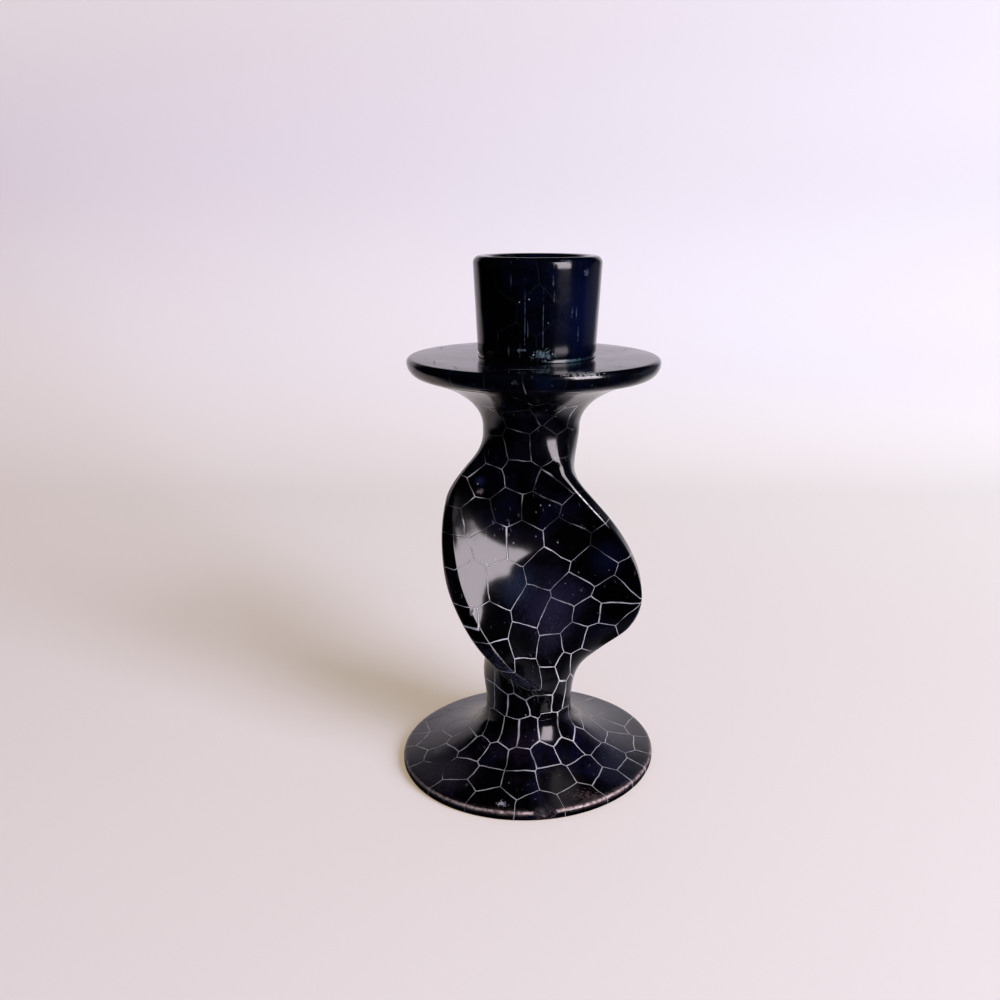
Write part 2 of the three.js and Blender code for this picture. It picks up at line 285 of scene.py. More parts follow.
def finished(name, solid, node):
    """The solid as a smooth piece of the holder, in place of its plain CAD node."""
    mesh = bpy.data.meshes.new(name)
    solid.to_mesh(mesh)
    solid.free()
    for face in mesh.polygons:
        face.use_smooth = True
    piece = bpy.data.objects.new(name, mesh)
    scene.collection.objects.link(piece)
    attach(piece, "root")
    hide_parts(node)
    return piece


rim_top = (foot_radius - foot_rounding, foot_edge)
foot_flare = bowed(rim_top, flare_corner, (stem_radius, foot_top), flare_steps)
foot_profile = [
    (0, 0),
    (0.02, 0),
    (0.034, 0),
    (foot_radius - foot_rounding, 0),
    (foot_radius - lower_edge[0], lower_edge[1]),
    (foot_radius, foot_rounding),
    (foot_radius, foot_edge / 2),
    (foot_radius, foot_edge - foot_rounding),
    *[(foot_radius - inward, foot_edge - down) for inward, down in worn_edge],
    *foot_flare[:-1],
    (stem_radius, foot_top - crisp),
    (stem_radius, foot_top),
    (joint_middle, foot_top),
    (mortise_radius, foot_top),
    (mortise_radius, foot_mortise_floor),
    (0, foot_mortise_floor),
]
foot_solid = turned(foot_profile, foot_sides)
for vert in foot_solid.verts:
    radius = math.hypot(vert.co.x, vert.co.y)
    turn = math.atan2(vert.co.y, vert.co.x)
    share = min(max((radius - stem_radius) / (foot_radius - stem_radius), 0), 1)
    stretch = out_of_round * share * math.cos(2 * (turn - long_way))
    vert.co.x += stretch * math.cos(turn)
    vert.co.y += stretch * math.sin(turn)

# The chip is a dent round a middle just outside the rim, uneven as broken stone is
chip_place = Vector((0.0037, -0.0382, 0.0022))
chip_middle = chip_place + Vector((0.0001, -0.0013, 0.0016))
chip_reach = 0.0031
chip_patch = 0.0055
chip_lowest = 0.0002
chip_highest = 0.0031
chip_grain = 900
beside_chip = [
    edge for edge in foot_solid.edges
    if all((vert.co - chip_place).length < chip_patch for vert in edge.verts)
]
bmesh.ops.subdivide_edges(foot_solid, edges=beside_chip, cuts=3, use_grid_fill=True)
for vert in foot_solid.verts:
    way = vert.co - chip_middle
    if way.length < chip_reach and vert.co.z > chip_lowest:
        dent = chip_reach * (0.94 + 0.12 * noise.noise(vert.co * chip_grain))
        vert.co = chip_middle + way.normalized() * max(way.length, dent)
        vert.co.z = min(max(vert.co.z, chip_lowest), chip_highest)
foot_piece = finished("foot_stone", foot_solid, "foot")

most_worn_turn = -1.2
worn_width = 0.00062
unworn_reach = 0.0034
dull_reach = 0.0026
dull_fade = 0.0012


def wear_and_highlight(piece, name, amounts):
    """Stores on the piece, under a name, an amount from 0 to 1 for each point: its wear, scuffing or painted
    highlight.
    """
    layer = piece.data.attributes.new(name, "FLOAT", "POINT")
    layer.data.foreach_set("value", [min(max(amount, 0.0), 1.0) for amount in amounts])


def rim_wear(place):
    """The foot's upper arris is pale from wear, most at the front, except where the chip broke it away."""
    radius = math.hypot(place.x, place.y)
    turn = math.atan2(place.y, place.x)
    inward, down = worn_edge[1]
    arris_radius = foot_radius + out_of_round * math.cos(2 * (turn - long_way)) - inward
    off_arris = math.hypot(arris_radius - radius, foot_edge - down - place.z)
    strength = 0.26 + 0.52 * max(math.cos(turn - most_worn_turn), 0) ** 2
    whole = 1 if (place - chip_place).length > unworn_reach else 0
    return strength * (1.05 - off_arris / worn_width) * whole


def chip_wear(place):
    """The chip's broken face is dull."""
    return 1.0 - ((place - chip_place).length - dull_reach) / dull_fade


foot_places = [vert.co.copy() for vert in foot_piece.data.vertices]
wear_and_highlight(foot_piece, "wear_and_highlight", [rim_wear(place) for place in foot_places])
wear_and_highlight(foot_piece, "scuffed", [chip_wear(place) for place in foot_places])

# The web of lines, scratched by hand through the polish into cells of about 9 mm. A line runs
# midway between two cells, so the web is set out by the cells' centres: on the foot by their turn
# in degrees and distance from the axis in millimetres, on the stem by their turn and height.
foot_cells = [
    (352, 14), (322, 14), (297, 14), (266, 14), (247, 14), (220, 14), (195, 15), (0, 20), (333, 18),
    (306, 18), (284, 18), (262, 19.5), (239, 20), (217, 20.5), (198, 21), (172, 22), (14, 27),
    (356, 28.5), (333, 27), (309, 26), (286, 25.5), (263, 26.5), (242, 27.5), (223, 28), (202, 28),
    (182, 29), (160, 30), (15, 36.5), (356, 37), (333, 34.5), (315, 32.5), (294, 34.5), (274, 35.5),
    (251, 35), (232, 35), (211, 35.5), (193, 37), (176, 36.5),
]
stem_cells = [
    (229, 23), (250, 22.5), (204, 23.5), (335, 24), (312, 25), (282, 24), (238, 28), (263, 28),
    (292, 29.5), (355, 30), (201, 29), (324, 31),
]
foot_courses = [(0.0142, 0.0133), (0.0195, 0.0087), (0.0262, 0.0058), (0.0312, 0.0044), (0.0362, 0.0032)]
stem_course = 0.0235
circle_sides = 120
web_kinds = 6
far_apart = 99.0
off_step = 0.16
off_course = 0.8
swings = ((170, 0.55), (480, 0.14))
hand = random.Random(11)
noise.seed_set(11)


def set_on(skin, turn, distance, height, way):
    """The point of a piece's skin that a straight line from a point meets, in millimetres."""
    start = Vector((distance * math.cos(turn), distance * math.sin(turn), height))
    hit = skin.ray_cast(start, way)[0]
    return None if hit is None else hit * 1000


def circle(radius, height, offset=0.0):
    """Points round a level circle, whose middle may lie a little to the right of the axis."""
    turns = [2 * math.pi * side / circle_sides for side in range(circle_sides)]
    return [(offset + radius * math.cos(turn), radius * math.sin(turn), height) for turn in turns]


def stepped(course, pitch, shift):
    """Points at even steps of about the pitch along a closed course, each a little off its step
    and above or below the course, in millimetres."""
    sides = [Vector(b) - Vector(a) for a, b in zip(course, course[1:] + course[:1])]
    around = sum(side.length for side in sides)
    count = max(round(around / pitch), 3)
    steps = [(number + shift + hand.uniform(-off_step, off_step)) / count for number in range(count)]
    stops = sorted(around * (step % 1) for step in steps)
    points = []
    walked = 0
    for start, side in zip(course, sides):
        while stops and stops[0] <= walked + side.length:
            points.append(Vector(start) + side * ((stops.pop(0) - walked) / side.length))
        walked += side.length
    return [point * 1000 + Vector((0, 0, hand.uniform(-off_course, off_course))) for point in points]


def filled(centres, extra, gap):
    """The cells with those of the extra ones that stand clear of them and of each other."""
    kept = list(centres)
    for point in extra:
        if all((point - other).length > gap for other in kept):
            kept.append(point)
    return kept


def scratch_web(piece, centres, seats=None):
    """Stores on the piece the squared distance of each point of it from the nearest cell of each of
    six kinds, where neighbouring cells are of different kinds. The look draws a line where two are
    equal. A point that has a seat takes the distances of that place, so lines run over an edge."""
    spots = np.array([tuple(centre) for centre in centres])
    kinds = []
    for index, spot in enumerate(spots):
        gaps = [far_apart] * web_kinds
        for other, kind in zip(spots[:index], kinds):
            gaps[kind] = min(gaps[kind], float(np.linalg.norm(spot - other)))
        kinds.append(int(np.argmax(gaps)))
    places = []
    for vert in piece.data.vertices:
        seat = (seats or {}).get(vert.index, vert.co)
        shake = sum((noise.noise_vector(vert.co * rate) * size for rate, size in swings), Vector())
        places.append(tuple(seat * 1000 + shake))
    squares = ((np.array(places)[:, None] - spots[None]) ** 2).sum(-1)
    nearest = [squares[:, np.array(kinds) == kind].min(axis=1) for kind in range(web_kinds)]
    for name, three in (("web_near", nearest[:3]), ("web_far", nearest[3:])):
        layer = piece.data.attributes.new(name, "FLOAT_VECTOR", "POINT")
        layer.data.foreach_set("vector", np.stack(three, axis=1).astype(np.float32).ravel())


foot_skin = BVHTree.FromObject(foot_piece, bpy.context.evaluated_depsgraph_get())
over_foot = 0.1
straight_down = Vector((0, 0, -1))
foot_spots = [
    set_on(foot_skin, math.radians(turn), distance / 1000, over_foot, straight_down)
    for turn, distance in foot_cells
]
stem_spots = []
for turn, height in stem_cells:
    right = stem_radius * 1000 * math.cos(math.radians(turn))
    back = stem_radius * 1000 * math.sin(math.radians(turn))
    stem_spots.append(Vector((right, back, height)))
for row, (radius, height) in enumerate(foot_courses):
    extra = stepped(circle(radius, height), pitch=0.0095, shift=row / 2)
    foot_spots = filled(foot_spots, extra, gap=6.2)
extra = stepped(circle(stem_radius, stem_course), pitch=0.0075, shift=0.3)
stem_spots = filled(stem_spots, extra, gap=5.2)
scratch_web(foot_piece, foot_spots + stem_spots)


def group_of(name, inputs, outputs):
    """An empty shader group with its named sockets, and its own input and output nodes."""
    group = bpy.data.node_groups.new(name, "ShaderNodeTree")
    for socket, kind in inputs.items():
        group.interface.new_socket(name=socket, in_out="INPUT", socket_type=kind)
    for socket, kind in outputs.items():
        group.interface.new_socket(name=socket, in_out="OUTPUT", socket_type=kind)
    return group, group.nodes.new("NodeGroupInput"), group.nodes.new("NodeGroupOutput")


def swirled(where, scale, detail, roughness=0.5, distortion=0.0):
    """A value that swirls about a half over the stone, at a scale in swirls to the metre."""
    names = ("Vector", "Scale", "Detail", "Roughness", "Distortion")
    inputs = dict(zip(names, (where, scale, detail, roughness, distortion)))
    return add(tree_of(where), "ShaderNodeTexNoise", inputs).outputs[0]


def vector_sum(operation, *values):
    """The outcome of one sum of vectors, or a vector's LENGTH."""
    inputs = dict(enumerate(values))
    node = add(tree_of(*values), "ShaderNodeVectorMath", inputs, operation=operation)
    return node.outputs["Value" if operation == "LENGTH" else "Vector"]


# Scratched web: the two nearest cells are the lowest two of the six stored squares. A line is
# narrow, uneven in width and pressure, and gives out here and there.
number, vector, colour = "NodeSocketFloat", "NodeSocketVector", "NodeSocketColor"
cell_pitch = 8.5
web_group, given, result = group_of(
    "scratched_web",
    {"Near": vector, "Far": vector, "Position": vector, "Half Width": number, "Presence": number},
    {"Line": number, "Groove": number},
)
where = given.outputs["Position"]
first_three = add(web_group, "ShaderNodeSeparateXYZ", {0: given.outputs["Near"]}).outputs
last_three = add(web_group, "ShaderNodeSeparateXYZ", {0: given.outputs["Far"]}).outputs
lowest = first_three[0]
second = 1e6
for value in (*first_three[1:], *last_three):
    second = sum_of("MINIMUM", second, sum_of("MAXIMUM", lowest, value))
    lowest = sum_of("MINIMUM", lowest, value)
off_line = product(sum_of("SUBTRACT", second, lowest), 1 / (2 * cell_pitch))
pressure = ramped(swirled(where, 260, 3), 0.3, 0.7, 0.65, 1.3)
reach = product(given.outputs["Half Width"], pressure)
inside = sum_of("DIVIDE", off_line, reach)
line = ramped(inside, 0.55, 1.25, 1.0, 0.0)
groove = ramped(inside, 0.2, 1.9, 1.0, 0.0)
presence = sum_of("SUBTRACT", given.outputs["Presence"], 0.5)
fading = sum_of("ADD", swirled(where, 105, 2), presence)
still_there = ramped(fading, 0.36, 0.62, 0.04, 1.0)
web_group.links.new(product(line, still_there), result.inputs["Line"])
web_group.links.new(product(groove, still_there), result.inputs["Groove"])

# Dyed stone: the dye has sunk in unevenly, so soft clouds of blue and violet with a fine mealy
# grain show in the near-black.
stain_shift = (0.31, 0.17, 0.05)
dye_group, given, result = group_of(
    "dyed_stone",
    {"Position": vector, "Dark": colour, "Blue": colour, "Violet": colour, "Amount": number},
    {"Color": colour, "Cloud": number},
)
where = given.outputs["Position"]
amount = given.outputs["Amount"]
clouds = swirled(where, 62, 4, roughness=0.6, distortion=0.5)
moved = vector_sum("ADD", where, stain_shift)
stains = swirled(moved, 48, 4, roughness=0.65)
grain = swirled(where, 1500, 2, roughness=0.7)
mealy = ramped(grain, 0.35, 0.7, 0.55, 1.25)
blueness = product(ramped(clouds, 0.49, 0.68), amount)
violetness = product(ramped(stains, 0.54, 0.72), amount)
blue_share = product(blueness, mealy, clamp=True)
violet_share = product(violetness, mealy, clamp=True)
blued = mixed(blue_share, given.outputs["Dark"], given.outputs["Blue"])
dyed = mixed(violet_share, blued, given.outputs["Violet"])
dye_group.links.new(dyed, result.inputs["Color"])
dye_group.links.new(clouds, result.inputs["Cloud"])

# Handling marks: hair scratches along one way of the piece, and specks of dust and wax.
marks_group, given, result = group_of(
    "handling_marks",
    {"Position": vector, "Stretch": vector, "Amount": number},
    {"Scratch": number, "Speck": number},
)
where = given.outputs["Position"]
amount = given.outputs["Amount"]
drawn_out = vector_sum("MULTIPLY", where, given.outputs["Stretch"])
hairs = ramped(swirled(drawn_out, 1.0, 1.5), 0.66, 0.72)
patches = ramped(swirled(where, 120, 2), 0.48, 0.62)
dots = add(marks_group, "ShaderNodeTexVoronoi", {"Vector": where, "Scale": 800})
chances = add(marks_group, "ShaderNodeSeparateColor", {0: dots.outputs["Color"]}).outputs
dot_size = ramped(chances[0], 0.955, 1.0, 0.02, 0.2, smooth=False)
speck = sum_of("LESS_THAN", dots.outputs["Distance"], dot_size)
marks_group.links.new(product(hairs, patches, amount), result.inputs["Scratch"])
marks_group.links.new(product(speck, amount), result.inputs["Speck"])

# Residue and stains: a ragged spot round a place on the stone, of a size given along each axis.
spot_group, given, result = group_of(
    "ragged_spot",
    {"Position": vector, "Place": vector, "Size": vector, "Ragged": number, "Solid": number},
    {"Mask": number},
)
where = given.outputs["Position"]
off_place = vector_sum("SUBTRACT", where, given.outputs["Place"])
span = vector_sum("LENGTH", vector_sum("DIVIDE", off_place, given.outputs["Size"]))
rag = sum_of("SUBTRACT", swirled(where, 1400, 3, roughness=0.7), 0.5)
ragged = sum_of("ADD", span, product(rag, given.outputs["Ragged"], 4.0))
mask = ramped(ragged, given.outputs["Solid"], 1.0, 1.0, 0.0)
spot_group.links.new(mask, result.inputs["Mask"])

# Polish: how deep and how dull the web, the scratches and the worn places are, in metres and as
# shares, and how far up the body the web fades from its lower to its upper presence.
wax_ior = 1.4
wave_height = 0.00016
groove_depth = 0.00007
scratch_depth = 0.000012
pit_depth = 0.0003
line_dulling = 0.45
scratch_dulling = 0.2
wear_dulling = 0.3
scratch_strength = 0.3
scratch_tint = (0.16, 0.17, 0.21, 1)
speck_tint = (0.3, 0.3, 0.33, 1)
web_fade = (0.052, 0.088)


def polished_stone(
    name, dark, blue, violet, stretch, web, width=0.152, dye=1.0, marks=0.5, gloss=0.13,
    pale=(0.38, 0.38, 0.41, 1), wear_and_highlight_tint=(0.55, 0.44, 0.43, 1), scuff_tint=(0.026, 0.029, 0.055, 1),
):
    """The look of one stone: dyed, scratched with the web, waxed and polished, then handled. The
    web's presence is one number, or two for the lower and the upper part."""
    material = bpy.data.materials.new(name)
    material.use_nodes = True
    tree = material.node_tree
    tree.nodes.clear()
    where = add(tree, "ShaderNodeTexCoord").outputs["Object"]
    near = add(tree, "ShaderNodeAttribute", attribute_name="web_near").outputs["Vector"]
    far = add(tree, "ShaderNodeAttribute", attribute_name="web_far").outputs["Vector"]
    wear_and_highlight_share = add(tree, "ShaderNodeAttribute", attribute_name="wear_and_highlight").outputs["Fac"]
    rubbed = add(tree, "ShaderNodeAttribute", attribute_name="scuffed").outputs["Fac"]
    presence = web
    if isinstance(web, tuple):
        height = add(tree, "ShaderNodeSeparateXYZ", {0: where}).outputs["Z"]
        presence = ramped(height, *web_fade, *web)
    inputs = {"Position": where, "Dark": dark, "Blue": blue, "Violet": violet, "Amount": dye}
    dyed = add(tree, "ShaderNodeGroup", inputs, node_tree=dye_group)
    inputs = {"Near": near, "Far": far, "Position": where, "Half Width": width, "Presence": presence}
    lines = add(tree, "ShaderNodeGroup", inputs, node_tree=web_group)
    inputs = {"Position": where, "Stretch": stretch, "Amount": marks}
    handled = add(tree, "ShaderNodeGroup", inputs, node_tree=marks_group)
    line, scratch = lines.outputs["Line"], handled.outputs["Scratch"]
    pitting = swirled(where, 750, 4, roughness=0.7)
    # Worn places, and the painted highlight on the body's corner, take the pale tint
    uneven = product(wear_and_highlight_share, ramped(pitting, 0.36, 0.6, 0.25, 1.25), clamp=True)
    grated = product(rubbed, ramped(pitting, 0.42, 0.62, 0.3, 1.6), clamp=True)

    scored = mixed(product(scratch, scratch_strength), dyed.outputs["Color"], scratch_tint)
    dusty = mixed(handled.outputs["Speck"], scored, speck_tint)
    broken_up = mixed(grated, dusty, scuff_tint)
    webbed = mixed(line, broken_up, pale)
    tint = mixed(uneven, webbed, wear_and_highlight_tint)

    cloudy = ramped(dyed.outputs["Cloud"], 0.3, 0.7, gloss - 0.025, gloss + 0.03)
    dulled = sum_of("ADD", cloudy, product(scratch, scratch_dulling))
    lined = sum_of("ADD", dulled, product(line, line_dulling), clamp=True)
    spoiled = product(sum_of("MAXIMUM", uneven, grated), wear_dulling)
    rough = sum_of("ADD", lined, spoiled, clamp=True)

    waves = product(swirled(where, 85, 2, roughness=0.45), wave_height)
    grooves = product(lines.outputs["Groove"], groove_depth)
    grooved = sum_of("SUBTRACT", waves, grooves)
    scraped = sum_of("SUBTRACT", grooved, product(scratch, scratch_depth))
    relief = sum_of("ADD", scraped, product(grated, pitting, pit_depth))
    bump = add(tree, "ShaderNodeBump", {"Strength": 1.0, "Distance": 1.0, "Height": relief})
    shader = add(tree, "ShaderNodeBsdfPrincipled", {
        "Base Color": tint, "Roughness": rough, "Normal": bump.outputs[0], "IOR": wax_ior,
    })
    add(tree, "ShaderNodeOutputMaterial", {"Surface": shader.outputs[0]})
    return material


def shader_of(material):
    """The shader that gives a stone its colour and gloss."""
    return next(node for node in material.node_tree.nodes if node.type == "BSDF_PRINCIPLED")


def spotted(material, place, size, tint, share=1.0, ragged=0.5, solid=0.55, dulling=0.2):
    """Lays a ragged spot of a tint over a stone's look, at a place and of a size in millimetres."""
    tree = material.node_tree
    shader = shader_of(material)
    spot = add(tree, "ShaderNodeGroup", {
        "Position": add(tree, "ShaderNodeTexCoord").outputs["Object"],
        "Place": [value / 1000 for value in place],
        "Size": [value / 1000 for value in size],
        "Ragged": ragged,
        "Solid": solid,
    }, node_tree=spot_group)
    mask = product(spot.outputs["Mask"], share)
    under = shader.inputs["Base Color"].links[0].from_socket
    tree.links.new(mixed(mask, under, tint), shader.inputs["Base Color"])
    dull = shader.inputs["Roughness"].links[0].from_socket
    duller = sum_of("ADD", dull, product(mask, dulling), clamp=True)
    tree.links.new(duller, shader.inputs["Roughness"])


foot_look = polished_stone(
    "foot_look", (0.0006, 0.0005, 0.001, 1), (0.003, 0.003, 0.014, 1), (0.006, 0.004, 0.01, 1),
    stretch=(900, 500, 900), web=0.56, width=0.145, scuff_tint=(0.012, 0.008, 0.013, 1),
)
# A pale fleck and two grazed places by the rim, then two wide patches of greyer dye
spotted(foot_look, (-8.2, -34.6, 3.2), (1.3, 1.0, 1.0), (0.35, 0.35, 0.4, 1), 0.8, 1.0)
spotted(foot_look, (16.5, -30.6, 3.1), (5.5, 2.2, 1.5), (0.09, 0.06, 0.065, 1), 0.5, 1.6, 0.1)
spotted(foot_look, (-27.9, -7.7, 4.6), (2.6, 2.0, 2.0), (0.03, 0.03, 0.034, 1), 0.6, 0.7)
wide = {"ragged": 0.25, "solid": 0.0, "dulling": 0.02}
spotted(foot_look, (-25.5, -18.5, 3.5), (15.0, 13.0, 6.0), (0.042, 0.036, 0.05, 1), 0.45, **wide)
spotted(foot_look, (26.0, -15.0, 3.5), (13.0, 15.0, 6.0), (0.022, 0.024, 0.042, 1), 0.45, **wide)
foot_piece.data.materials.append(foot_look)

# Twisted body: one long stone carved into a stem, two wings that twist round a round core, and a
# neck that flares out under the pan. Its spigot is glued in the foot's mortise, and a mortise in
# its top takes the cup's spigot.
pan_underside = 0.1174
pan_top = 0.1228
wings_bottom = 0.019
wings_top = 0.1015
neck_radius = 0.0137
core_radius = 0.0154
core_ease = 0.014
# Each wing: its furthest reach and the share of the climb where that is, how full its outline is
# above and below it, and its direction in degrees at five shares of the climb
turn_shares = [0.036, 0.279, 0.473, 0.679, 0.885]
right_wing = {"reach": 0.033, "widest": 0.407, "above": 2.1, "below": 1.25}
right_turns = [30, 3.5, -8, -19, -52.5]
left_wing = {"reach": 0.0311, "widest": 0.502, "above": 1, "below": 0.9}
left_turns = [291.5, 249, 229.5, 214, 190]
# The wings' edges: half their thickness where they start and where they are full grown
start_thickness = 0.00115
full_thickness = 0.0028
growing_length = 0.03
# The two faces: how far their middles stand from the axis, and how they turn from round to dished
front_depth = 0.0107
back_depth = 0.0134
face_steps = 44
face_crowding = 0.13
flattening_margin = 0.0015
upper_flattening = 0.019
lower_flattening = 0.0235
arris_ease = 0.0007
# The front face's width, and by how much of it the face is fuller beside its left end and swells
# across its middle, at some heights
front_width = 0.055
fuller_heights = [0.04, 0.049, 0.057, 0.066, 0.075, 0.083, 0.092]
fuller_shares = [0, 1.4, 2.4, 1.2, -0.4, -0.7, 0]
swelling_heights = [0.053, 0.0615, 0.068, 0.0725, 0.08, 0.092]
swelling_shares = [0, 0.35, 0.5, 0.4, 0.25, 0]
# The shoulder that stands out at the front of the neck
shoulder = 0.0009
shoulder_turn = math.radians(-70)
shoulder_width = 0.75
shoulder_bottom = 0.0915
shoulder_top = 0.1035


def eased(value):
    """A share from 0 to 1 that starts and ends gently."""
    value = min(max(value, 0), 1)
    return value * value * (3 - 2 * value)


def through(place, stations, values):
    """A smooth value through a few stations, whose slopes are weighed by the steps beside them."""
    steps = [high - low for low, high in zip(stations, stations[1:])]
    rises = [(high - low) / step for low, high, step in zip(values, values[1:], steps)]
    slopes = [rises[0]]
    for before, after, left, right in zip(rises, rises[1:], steps, steps[1:]):
        slopes.append((after * left + before * right) / (left + right))
    slopes.append(rises[-1])
    span = max([index for index, station in enumerate(stations[:-1]) if station <= place], default=0)
    s = min(max((place - stations[span]) / steps[span], 0), 1)
    return (
        (2 * s ** 3 - 3 * s * s + 1) * values[span]
        + (s ** 3 - 2 * s * s + s) * steps[span] * slopes[span]
        + (3 * s * s - 2 * s ** 3) * values[span + 1]
        + (s ** 3 - s * s) * steps[span] * slopes[span + 1]
    )


def climb_at(height):
    """The share of the wings' climb at a height."""
    return min(max((height - wings_bottom) / (wings_top - wings_bottom), 0), 1)


def core_at(height):
    """The radius of the body's round core at a height."""
    plain = stem_radius + (neck_radius - stem_radius) * climb_at(height)
    swell = eased((height - wings_bottom) / core_ease) * eased((wings_top - height) / core_ease)
    return plain + (core_radius - plain) * swell


def reach_at(height, reach, widest, above, below):
    """How far a wing's edge stands from the axis at a height."""
    climb = climb_at(height)
    share = (1 - climb) / (1 - widest) if climb > widest else climb / widest
    fullness = math.sin(share * math.pi / 2) ** (above if climb > widest else below)
    return core_at(height) + (reach - core_at(height)) * fullness


def toward(turn, distance):
    """A level point in a direction."""
    return Vector((math.cos(turn), math.sin(turn))) * distance


def carved_face(start, middle, end, flatness, core, fuller=0.0, swelling=0.0):
    """One face of the body at a height, from edge to edge: dished where the wings are full grown
    and round where they die out, fuller beside its end, and swelling across its middle. Its first
    and last points are the true corners. The others keep off these and crowd toward them."""
    long_start = (start[0] - middle[0]).length
    long_end = (end[0] - middle[0]).length
    bend = long_start / (long_start + long_end)
    clear = arris_ease / (long_start + long_end)
    points = []
    for step in range(-1, face_steps + 2):
        s = min(max(step / face_steps, 0), 1)
        s = clear + (1 - 2 * clear) * (s - face_crowding * math.sin(2 * math.pi * s))
        s = 0 if step < 0 else 1 if step > face_steps else s
        flat = (
            start[0] * ((s - bend) * (s - 1) / bend)
            + middle[0] * (s * (s - 1) / (bend * (bend - 1)))
            + end[0] * (s * (s - bend) / (1 - bend))
        )
        flat += toward(middle[1], fuller * max(s - bend, 0) ** 2 * (1 - s))
        flat += toward(middle[1], swelling * (s * (1 - s)) ** 2)
        if s < bend:
            angle = start[1] + (middle[1] - start[1]) * s / bend
        else:
            angle = middle[1] + (end[1] - middle[1]) * (s - bend) / (1 - bend)
        points.append(toward(angle, core).lerp(flat, flatness))
    return points


def broken(before, corner, after):
    """The points between two others that break the corner they leave with a narrow, softly
    rounded flat."""
    shares = [0.25, 0.5, 0.75]
    rounds = [before.lerp(corner, s).lerp(corner.lerp(after, s), s) for s in shares]
    return [before.lerp(after, s).lerp(rounded, 0.4) for s, rounded in zip(shares, rounds)]


def carved_ring(height):
    """The body's outline at a height: front face, left edge, back face and right edge."""
    core = core_at(height)
    right_turn = math.radians(through(climb_at(height), turn_shares, right_turns))
    left_turn = math.radians(through(climb_at(height), turn_shares, left_turns))
    front_turn = (right_turn + left_turn) / 2 - math.pi
    grown = eased((wings_top - height) / growing_length)
    grown *= eased((height - wings_bottom) / growing_length)
    half = start_thickness + (full_thickness - start_thickness) * grown
    flatness = eased((wings_top + flattening_margin - height) / upper_flattening)
    flatness *= eased((height - wings_bottom + flattening_margin) / lower_flattening)
    right = toward(right_turn, reach_at(height, **right_wing))
    left = toward(left_turn, reach_at(height, **left_wing))
    quarter = math.pi / 2
    full = 2 * math.pi
    spread = half / core
    front = carved_face(
        (right + toward(right_turn - quarter, half), right_turn - spread),
        (toward(front_turn, front_depth), front_turn),
        (left + toward(left_turn + quarter, half), left_turn - full + spread),
        flatness,
        core,
        fuller=front_width * through(height, fuller_heights, fuller_shares),
        swelling=front_width * through(height, swelling_heights, swelling_shares),
    )
    back = carved_face(
        (left + toward(left_turn - quarter, half), left_turn - full - spread),
        (toward(front_turn + math.pi, back_depth), front_turn - math.pi),
        (right + toward(right_turn + quarter, half), right_turn - full + spread),
        flatness,
        core,
    )
    outline = []
    for face, following, turn in ((front, back, left_turn), (back, front, right_turn)):
        off = min(arris_ease / (face[-1] - following[0]).length, 0.3)
        wing_edge = []
        for share in (off, 0.35, 0.5, 0.65, 1 - off):
            chord = toward(turn + spread, core).lerp(toward(turn - spread, core), share)
            rounding = (toward(turn + spread * (1 - 2 * share), core) - chord) * (1 - flatness)
            wing_edge.append(face[-1].lerp(following[0], share) + rounding)
        outline += face[1:-1] + broken(face[-2], face[-1], wing_edge[0])
        outline += wing_edge + broken(wing_edge[-1], following[0], following[1])
    swell = shoulder * eased((shoulder_top - height) / 0.0085)
    swell *= eased((height - shoulder_bottom) / 0.005)
    for point in outline:
        aside = abs(math.atan2(point.y, point.x) - shoulder_turn)
        point *= 1 + swell * eased(1 - aside / shoulder_width) / point.length
    return [(point.x, point.y, height) for point in reversed(outline)]


def drawn_up(rings):
    """A closed solid drawn up ring by ring, each ring an extrusion of the last one. Each point
    keeps its ring and its station on the ring."""
    solid = bmesh.new()
    solid.verts.layers.int.new("ring")
    solid.verts.layers.int.new("station")
    loop = bmesh.ops.create_circle(solid, segments=len(rings[0]), radius=0.01)["verts"]
    bmesh.ops.contextual_create(solid, geom=loop)
    for level, ring in enumerate(rings):
        for station, (vert, place) in enumerate(zip(loop, ring)):
            vert.co = place
            vert[solid.verts.layers.int["ring"]] = level
            vert[solid.verts.layers.int["station"]] = station
        if level == len(rings) - 1:
            break
        edges = [solid.edges.get(pair) for pair in zip(loop, loop[1:] + loop[:1])]
        grown = bmesh.ops.extrude_edge_only(solid, edges=edges)["geom"]
        fresh = {item for item in grown if isinstance(item, bmesh.types.BMVert)}
        loop = [next(e.other_vert(v) for e in v.link_edges if e.other_vert(v) in fresh) for v in loop]
    bmesh.ops.contextual_create(solid, geom=loop)
    bmesh.ops.recalc_face_normals(solid, faces=solid.faces)
    return solid


def ring_like(ring, radius, height, offset=0.0):
    """A circle whose points lie in the same directions as another ring's."""
    turns = [math.atan2(y, x) for x, y, _ in ring]
    return [(offset + radius * math.cos(turn), radius * math.sin(turn), height) for turn in turns]


